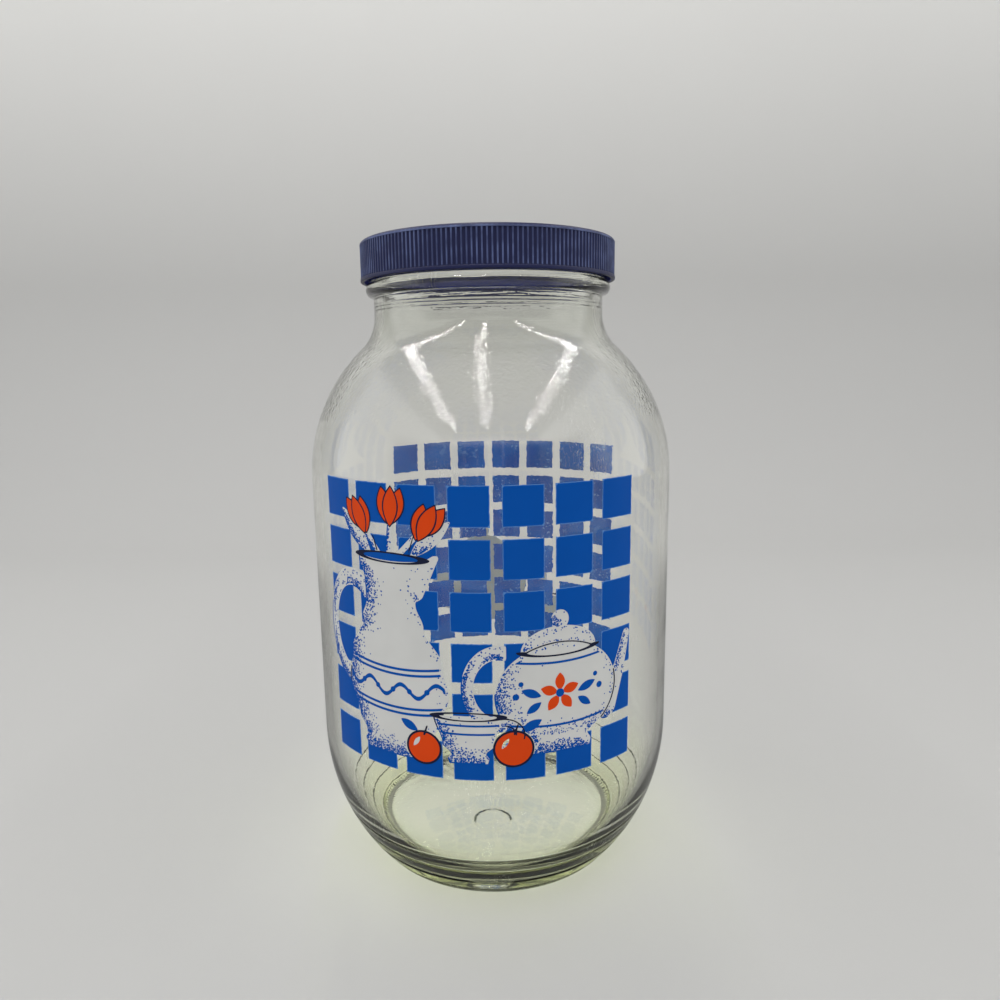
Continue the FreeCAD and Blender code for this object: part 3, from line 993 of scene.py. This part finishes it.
# %% A socket that can do sums
class Output:
    """An output socket of a node, with arithmetic."""

    def __init__(self, tree, socket):
        self.tree, self.socket = tree, socket

    def node(self, kind, settings, inputs, output=0):
        """Add a node: settings first, then the value or link of each named input."""
        made = self.tree.nodes.new(kind)
        for name, value in settings.items():
            setattr(made, name, value)
        for name, value in inputs.items():
            if isinstance(value, Output):
                self.tree.links.new(value.socket, made.inputs[name])
            else:
                made.inputs[name].default_value = value
        return Output(self.tree, made.outputs[output])

    def maths(self, operation, *values):
        return self.node("ShaderNodeMath", {"operation": operation}, dict(enumerate(values)))

    def __add__(self, other):
        return self.maths("ADD", self, other)

    def __sub__(self, other):
        return self.maths("SUBTRACT", self, other)

    def __mul__(self, other):
        return self.maths("MULTIPLY", self, other)

    def __rsub__(self, other):
        return self.maths("SUBTRACT", other, self)

    __radd__ = __add__
    __rmul__ = __mul__

    def between(self, low, high):
        """0 up to low, 1 from high, and an S-curve between them."""
        inputs = {"Value": self, "From Min": low, "From Max": high}
        return self.node("ShaderNodeMapRange", {"interpolation_type": "SMOOTHSTEP"}, inputs)

    def mix(self, one, two):
        """Colour one where this mask is 0 and colour two where it is 1."""
        inputs = {"Factor": self, 6: one, 7: two}
        return self.node("ShaderNodeMix", {"data_type": "RGBA"}, inputs, 2)

    def split(self):
        """The three numbers of a vector."""
        first = self.node("ShaderNodeSeparateXYZ", {}, {0: self})
        return [Output(self.tree, socket) for socket in first.socket.node.outputs]


def source(tree, kind, output):
    """An output of a node that needs no inputs, such as a place or a kind of ray."""
    return Output(tree, tree.nodes.new(kind).outputs[output])


def linear(red, green, blue):
    """An eight-bit screen colour as a linear one."""
    def channel(value):
        value /= 255
        return value / 12.92 if value <= 0.04045 else ((value + 0.055) / 1.055) ** 2.4
    return (channel(red), channel(green), channel(blue), 1.0)


print("mid grey of a screen is", linear(128, 128, 128), "in a shader")


# %% A finish
class Finish:
    """A material with one Principled shader, and the starting points of its formulas."""

    def __init__(self, name, values):
        self.material = bpy.data.materials.new(name)
        self.material.use_nodes = True
        self.tree = self.material.node_tree
        self.shader = self.tree.nodes["Principled BSDF"]
        for socket, value in values.items():
            self.shader.inputs[socket].default_value = value
        self.place = source(self.tree, "ShaderNodeTexCoord", "Object")
        self.x, self.y, self.z = self.place.split()

    def radius(self):
        """Distance from the axis of the jar."""
        return self.place.maths("SQRT", self.x * self.x + self.y * self.y)

    def stored(self, name):
        """A number stored on the points of the piece, and 0 where it has none of that name."""
        return self.place.node("ShaderNodeAttribute", {"attribute_name": name}, {}, 2)

    def noise(self, scale, detail=2.0, roughness=0.5, place=None):
        """Cloudy noise from 0 to 1, with scale features to a metre."""
        inputs = {"Scale": scale, "Detail": detail, "Roughness": roughness}
        inputs["Vector"] = place or self.place
        return self.place.node("ShaderNodeTexNoise", {}, inputs)

    def streaks(self, stretch, turn, scale, detail=2.0):
        """Noise on places that are stretched and turned first, so that it runs one way."""
        inputs = {"Vector": self.place, "Scale": stretch, "Rotation": turn}
        moved = self.place.node("ShaderNodeMapping", {}, inputs)
        return self.noise(scale, detail, place=moved)

    def link(self, value, socket):
        self.tree.links.new(value.socket, self.shader.inputs[socket])

    def bump(self, height, distance):
        """Relief: height times distance, in metres."""
        inputs = {"Height": height, "Distance": distance, "Strength": 1.0}
        self.link(self.place.node("ShaderNodeBump", {}, inputs), "Normal")

    def put_on(self, piece):
        """Give the material to a piece."""
        piece.data.materials.append(self.material)
        print(f"{self.material.name} with {len(self.tree.nodes)} nodes on {piece.name}")


# %% [markdown]
# ## Glass
#
# Soda-lime glass is clear in a thin wall and yellow-green where light travels far through
# it. Most of that tint is in the volume, where the length of the path makes it, and the
# thick heel has a little more on its surface. The outside has the fine relief that a mould
# leaves, which crackles the reflection of a lamp on the shoulder, and the neck runs in fine
# level streaks. Lamps shine through: for shadow rays the glass is transparent, so that the
# print and the floor behind it are lit.

# %% Relief of the glass
fine_grain, shoulder_grain, knurl_height, streak_height = 0.008, 0.12, 0.12, 0.06
knurl_ridges = 150
# heights in metres between which a mask grows from 0 to 1
shoulder_starts, shoulder_fades = (199 * MM, 206 * MM), (228 * MM, 242 * MM)
streaks_start, streaks_end = (224 * MM, 246 * MM), (257 * MM, 260 * MM)
neck_starts, neck_ends = (224 * MM, 240 * MM), (249 * MM, 252 * MM)
heel_ends, ring_ends = (4 * MM, 48 * MM), (0.6 * MM, 1.6 * MM)


def glass_relief(glass, outside):
    """Height in millimetres: a grain, coarser on the shoulder, a knurl below, and streaks.

    The knurl is a sine of the angle, on the ring that the jar stands on.
    """
    z = glass.z
    shoulder = z.between(*shoulder_starts) * (1 - 0.7 * z.between(*shoulder_fades))
    grain = glass.noise(620, 1.0) + glass.noise(260, 1.0) * 0.3
    ring = glass.radius().between(pushup_radius - 1 * MM, pushup_radius + 1 * MM)
    ring = ring * (1 - z.between(*ring_ends)) * outside
    knurl = z.maths("SINE", z.maths("ARCTAN2", glass.y, glass.x) * knurl_ridges)
    neck = z.between(*streaks_start) * (1 - z.between(*streaks_end))
    streaks = glass.streaks((0.08, 0.08, 1), (0, 0, 0), 900, 1.0)
    relief = outside * (fine_grain + shoulder_grain * shoulder) * grain
    return relief + ring * knurl * knurl_height + neck * streaks * streak_height


def scuffs(glass):
    """A mask of a few fine rubbed marks: thin lines of a stretched noise near its middle."""
    near = glass.z.maths("ABSOLUTE", glass.streaks((60, 60, 9), (0.5, 0.6, 0.2), 9.0) - 0.5)
    patches = glass.noise(26, 1.0).between(0.58, 0.66)
    return (1 - near.between(0.0, 0.012)) * patches


print("coarsest relief of the glass:", shoulder_grain, "mm")

# %% Glass material
clear, neck_tint, heel_tint = (1, 1, 1, 1), (0.90, 0.905, 0.885, 1), (0.93, 0.94, 0.77, 1)
let_through, absorbed, absorption = (0.93, 0.94, 0.92, 1), (0.80, 0.86, 0.35, 1), 12.0


def glass_finish():
    """Clear glass: its surface tint, relief and rubbed marks, its volume and its shadow."""
    values = {"Base Color": clear, "Transmission Weight": 1.0, "Roughness": 0.0, "IOR": 1.5}
    glass = Finish("clear_glass", values)
    glass.bump(glass_relief(glass, glass.stored("outside")), 1.0 * MM)
    neck = glass.z.between(*neck_starts) * (1 - glass.z.between(*neck_ends))
    heel = 1 - glass.z.between(*heel_ends)
    heel = heel * glass.radius().between(floor_radius - 6 * MM, floor_radius)
    glass.link(heel.mix(neck.mix(clear, neck_tint), heel_tint), "Base Color")
    glass.link(scuffs(glass) * 0.3, "Roughness")
    shadow = source(glass.tree, "ShaderNodeLightPath", "Is Shadow Ray")
    seen = Output(glass.tree, glass.shader.outputs[0])
    open_glass = shadow.node("ShaderNodeBsdfTransparent", {}, {"Color": let_through})
    surface = shadow.node("ShaderNodeMixShader", {}, {"Fac": shadow, 1: seen, 2: open_glass})
    tint = {"Color": absorbed, "Density": absorption}
    volume = shadow.node("ShaderNodeVolumeAbsorption", {}, tint)
    result = glass.tree.nodes["Material Output"]
    glass.tree.links.new(surface.socket, result.inputs["Surface"])
    glass.tree.links.new(volume.socket, result.inputs["Volume"])
    return glass


glass_finish().put_on(jar)

# %% [markdown]
# ## Enamel
#
# Fired enamel is glossy but not smooth. From inside the jar one sees its back through the
# wall, where it is uneven in tone, scraped in places and speckled with pinholes. The blue
# back is painted lighter than the blue front: painted light, for light that comes through
# the thin enamel from behind. The back of a film is nearer to the axis than the surface of
# the glass, so the distance from the axis tells the two apart. A tile has a painted
# highlight along its edge in front and a darker edge on its back.

# %% Enamel materials
# The first colour is a painted highlight along the front edge of each tile.
painted_edge_highlight, bare_spot = linear(112, 162, 218), linear(150, 205, 250)


def enamel(name, colour, back, deep, roughness):
    """One ink: its colour in front, that of its back where thin and thick, and its roughness."""
    ink = Finish(name, {"Roughness": roughness, "Specular IOR Level": 0.08})
    border = ink.stored("border")
    shade = tuple(0.86 * c for c in colour[:3]) + (1.0,)
    front = (ink.noise(55, 3.0).between(0.3, 0.7) * 0.35).mix(colour, shade)
    # Painted highlight: the front edge of each tile is lighter.
    front = (border.between(0.6, 0.9) * 0.6).mix(front, painted_edge_highlight)
    uneven = ink.noise(36, 1.0).between(0.36, 0.62) * 0.9
    behind = (uneven * (1 - 0.7 * border.between(0.2, 0.9))).mix(deep, back)
    pinholes = ink.noise(760, 1.0).between(0.65, 0.69) * ink.noise(80, 1.0).between(0.4, 0.6)
    scraped = ink.noise(120, 4.0, 0.7).between(0.58, 0.66)
    behind = (pinholes * 0.55 + scraped * 0.2).mix(behind, bare_spot)
    inner = 1 - ink.radius().between(body_radius - 0.05 * MM, body_radius - 0.02 * MM)
    ink.link(inner.mix(front, behind), "Base Color")
    ink.bump(ink.noise(1300, 2.0) + ink.noise(300, 1.0), 0.012 * MM)
    return ink


# The blue's back colours are lighter than its front: painted light for light coming through the
# enamel from behind.
inks = {
    name: enamel(f"enamel_{name}", *(linear(*colour) for colour in colours), roughness)
    for name, colours, roughness in (
        ("blue", ((0, 80, 170), (16, 110, 214), (5, 85, 193)), 0.34),
        ("white", ((212, 213, 211), (196, 198, 198), (184, 187, 189)), 0.4),
        ("orange", ((222, 72, 20), (190, 74, 40), (172, 64, 36)), 0.36),
        ("navy", ((28, 34, 58), (40, 46, 70), (34, 40, 64)), 0.36),
    )
}
for piece, ink in prints:
    inks[ink].put_on(piece)

# %% [markdown]
# ## Cap plastic
#
# The cap is satin navy plastic. The crests of the ribs and the upper edge are a greyer blue,
# partly from handling and partly a painted highlight, so the colour follows the distance from
# the axis. The inside is painted a brighter blue, painted light where it lies in shade. The
# top is blotched by hands and has fine scratches in two directions.

# %% Cap material
# The second colour is partly wear and partly a painted highlight on the rib crests; the third is
# painted light for the shaded inside of the cap.
navy, rubbed, painted_inside_light, handled = (
    linear(*colour) for colour in ((6, 16, 68), (84, 98, 144), (40, 50, 140), (74, 82, 122))
)


def cap_finish():
    """Satin plastic: crests with wear and a painted highlight, a painted lighter inside, and a
    scratched and blotched top.
    """
    values = {"Roughness": 0.42, "IOR": 1.49, "Specular IOR Level": 0.4}
    plastic = Finish("navy_plastic", values)
    across, z = plastic.radius(), plastic.z
    # The crests and the upper edge are lighter: partly wear, partly a painted highlight.
    crest_wear_highlight = across.between(rib_root + 0.25 * MM, cap_radius)
    crest_wear_highlight = crest_wear_highlight * z.between(lip_top, lip_top + 0.6 * MM)
    patches = plastic.noise(140, 3.0).between(0.35, 0.7)
    colour = (crest_wear_highlight * (0.35 + 0.65 * patches)).mix(navy, rubbed)
    # The inside of the cap is painted a brighter blue: painted light where it lies in shade.
    inner = 1 - across.between(skirt_inside + 0.1 * MM, skirt_inside + 0.4 * MM)
    inner = inner * (1 - z.between(cap_under, cap_under + 0.3 * MM))
    colour = inner.mix(colour, painted_inside_light)
    top = z.between(cap_top - 0.4 * MM, cap_top - 0.1 * MM)
    lines = [
        plastic.streaks(stretch, (0, 0, turn), 6.0).between(0.66, 0.74) * 0.3
        for stretch, turn in (((150, 9, 1), 0.7), ((9, 130, 1), 0.25))
    ]
    blotches = plastic.noise(34, 4.0, 0.6).between(0.42, 0.72) * 0.3
    colour = (top * (lines[0] + lines[1] + blotches)).mix(colour, handled)
    plastic.link(colour, "Base Color")
    plastic.link(0.36 + 0.16 * plastic.noise(500, 2.0) + top * blotches * 0.3, "Roughness")
    grain = plastic.noise(2200, 2.0) * 0.01 + top * plastic.noise(1400, 1.0) * 0.05
    plastic.bump(grain, 1.0 * MM)
    return plastic


cap_finish().put_on(cap)

# %% [markdown]
# ## Floor, lamps and camera
#
# The jar stands on a pale sweep, painted lighter from the floor up the backdrop, a painted
# gradient of light. Near the jar the floor is painted darker to mirrored rays only: a painted
# dark reflection, such as a dark table would give, so that the grooved heel shows its dark
# lines. Three long ceiling tubes run away from the camera and draw the three curved
# highlights on the shoulder. The room is a plain world: pale walls, a dim part low in
# front, where the viewer stands, and a darker ceiling. All of it is turned with the camera
# about the jar.

# %% Floor and backdrop
view_turn = math.radians(6.08)
turn_cos, turn_sin = math.cos(view_turn), math.sin(view_turn)
sweep_half, sweep_back, sweep_bend, sweep_top = 2.2, 0.55, 0.35, 1.5
# The last colour is seen only by mirrored rays near the jar: a painted dark reflection.
floor_paint, wall_paint, cloud_paint, dark_reflection_paint = (
    linear(*colour) for colour in ((183, 183, 182), (246, 246, 243), (180, 180, 180), (40, 42, 46))
)


def turned_about_axis(x, y):
    """A place of the room, which is turned with the camera about the axis of the jar."""
    return x * turn_cos - y * turn_sin, x * turn_sin + y * turn_cos


def sweep():
    """Floor and backdrop: flat, then a quarter circle, then upright. One surface of (x, u)."""
    angle = np.linspace(0, math.pi / 2, 25)
    bent = sweep_back + sweep_bend * np.sin(angle)
    y = np.concatenate([[-sweep_half], bent, [sweep_back + sweep_bend]])
    z = np.concatenate([[0], sweep_bend * (1 - np.cos(angle)), [sweep_top]])
    x, y = np.meshgrid(np.array([-sweep_half, sweep_half]), y, indexing="xy")
    z = np.repeat(z[:, None], 2, 1)
    x, y = turned_about_axis(x, y)
    i = np.arange(len(z) - 1)[:, None] * 2
    faces = np.concatenate([i, i + 1, i + 3, i + 2], 1)
    floor = new_piece("sweep", np.stack([x, y, z], -1).reshape(-1, 3), faces)
    paint = Finish("sweep_paint", {"Roughness": 0.8})
    # Mirrored rays near the jar see darker paint: a painted dark reflection.
    mirrored = source(paint.tree, "ShaderNodeLightPath", "Glossy Depth").between(0.0, 1.0)
    flat = 1 - paint.radius().between(0.35, 0.7)
    # Lighter from the floor up the backdrop: a painted gradient of light.
    wall = paint.z.between(0.0, 1.2).mix(floor_paint, wall_paint)
    cloudy = (paint.noise(3, 2.0) * 0.15).mix(wall, cloud_paint)
    paint.link((mirrored * flat * 0.5).mix(cloudy, dark_reflection_paint), "Base Color")
    paint.put_on(floor)


sweep()

# %% Tubes and room
tube_wide, tube_long, tube_height, tube_middle, tube_glow = 0.02, 3.1, 1.6, -0.55, 60.0
pale, dim, dark = (1.12, 1.12, 1.11, 1), (0.40, 0.40, 0.41, 1), (0.42, 0.42, 0.42, 1)


def tube(name, x):
    """A ceiling tube at x, running away from the camera: its power is glow * pi * area."""
    lamp = bpy.data.lights.new(name, "AREA")
    lamp.shape = "RECTANGLE"
    lamp.size, lamp.size_y = tube_wide, tube_long
    lamp.energy = tube_glow * math.pi * lamp.size * lamp.size_y
    lamp.color = (1.0, 0.99, 0.97)
    thing = bpy.data.objects.new(name, lamp)
    thing.location = (*turned_about_axis(x, tube_middle), tube_height)
    thing.rotation_euler = (0, 0, view_turn)
    bpy.context.scene.collection.objects.link(thing)
    print(f"{name}: {lamp.energy:.1f} W")


def room():
    """World by direction: pale walls, dim low in front, and a darker ceiling."""
    world = bpy.data.worlds.new("room")
    bpy.context.scene.world = world
    world.use_nodes = True
    shade = world.node_tree.nodes["Background"]
    way = source(world.node_tree, "ShaderNodeTexCoord", "Generated")
    along_x, along_y, up = way.split()
    sideways = way.maths("ABSOLUTE", along_x * turn_cos + along_y * turn_sin)
    forward = along_y * turn_cos - along_x * turn_sin
    ceiling = (up * 1.1 - sideways).between(-0.04, 0.08) * (forward + up * 1.9).between(-0.05, 0.15)
    low_front = (0 - forward - sideways * 0.25).between(0.02, 0.3) * (1 - up.between(0.36, 0.46))
    colour = ceiling.mix(low_front.mix(pale, dim), dark)
    world.node_tree.links.new(colour.socket, shade.inputs["Color"])
    shade.inputs["Strength"].default_value = 1.0


for name, x in (("tube_left", -0.9), ("tube_middle", -0.1), ("tube_right", 0.95)):
    tube(name, x)
room()

# %% The camera
pitch, yaw, roll = (math.radians(angle) for angle in (10.275, 0.632, -0.852))
eye = np.array([0, -4.3477 * body_radius, 2.7757 * body_radius])


def look():
    """The camera stands in front, a little above the middle, and looks slightly down."""
    ahead = np.array([
        math.sin(yaw) * math.cos(pitch), math.cos(yaw) * math.cos(pitch), -math.sin(pitch)
    ])
    right = np.array([math.cos(yaw), -math.sin(yaw), 0])
    upright = np.cross(right, ahead)
    across_view = math.cos(roll) * right + math.sin(roll) * upright
    up_view = -math.sin(roll) * right + math.cos(roll) * upright
    turn = np.array([[turn_cos, -turn_sin, 0], [turn_sin, turn_cos, 0], [0, 0, 1]])
    camera = bpy.data.cameras.new("camera")
    camera.sensor_width, camera.lens = 36.0, 27.51
    camera.clip_start = 0.01
    thing = bpy.data.objects.new("camera", camera)
    matrix = np.eye(4)
    matrix[:3, :3] = turn @ np.stack([across_view, up_view, -ahead], 1)
    matrix[:3, 3] = turn @ eye
    thing.matrix_world = Matrix(matrix.tolist())
    bpy.context.scene.collection.objects.link(thing)
    bpy.context.scene.camera = thing


look()
bpy.context.scene.view_settings.view_transform = "Standard"
print("the camera stands at", (eye / MM).round().tolist(), "mm before its turn")
